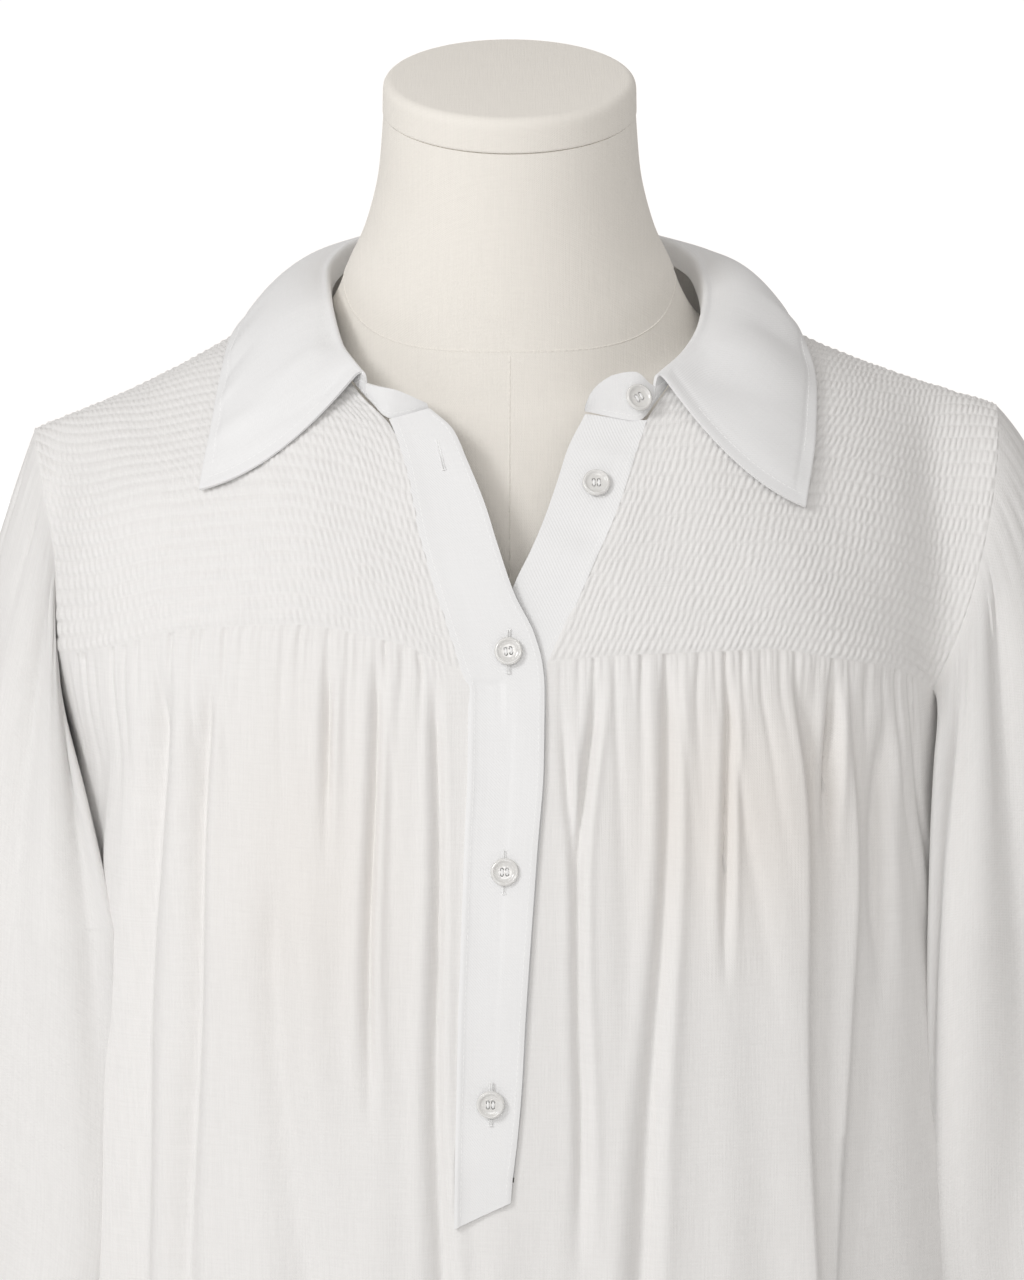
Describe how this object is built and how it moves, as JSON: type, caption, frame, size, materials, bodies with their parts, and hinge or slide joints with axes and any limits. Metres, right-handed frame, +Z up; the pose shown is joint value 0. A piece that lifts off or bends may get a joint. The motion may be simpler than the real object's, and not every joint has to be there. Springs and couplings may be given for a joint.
{
  "type": "tunic blouse on dress form",
  "caption": "Cotton tunic blouse with shirred yoke, open pointed collar, half placket and gathered body, standing on a limbless dress form with a round base.",
  "frame": {"origin": "centre of the underside of the base plate", "axes": "+X towards the wearer's left (the viewer's right), -Y towards the front of the blouse, +Z up along the pole"},
  "size_m": [0.626, 0.337, 0.9843],
  "materials": {
    "white_cotton": "plain woven white cotton, matt with a slight sheen",
    "white_twill": "white cotton with a fine diagonal, matt",
    "form_jersey": "off-white jersey cover, matt",
    "stand_metal": "satin steel",
    "button_plastic": "clear pearly plastic, glossy"
  },
  "bodies": {
    "root": {"back_panel": "white_cotton", "button_band_fourth": "button_plastic", "button_band_second": "button_plastic", "button_band_third": "button_plastic", "button_band_upper": "button_plastic", "button_collar": "button_plastic", "button_cuff_left": "button_plastic", "button_cuff_right": "button_plastic", "collar_leaf": "white_twill", "collar_stand": "white_twill", "cuff_left": "white_twill", "cuff_right": "white_twill", "form_body": "form_jersey", "form_cap": "form_jersey", "front_panel": "white_cotton", "placket_over": "white_twill", "placket_under": "white_twill", "sleeve_left": "white_cotton", "sleeve_right": "white_cotton", "stand_base": "stand_metal", "stand_pole": "stand_metal", "yoke_back": "white_cotton", "yoke_front_left": "white_cotton", "yoke_front_right": "white_cotton"}
  },
  "joints": []
}
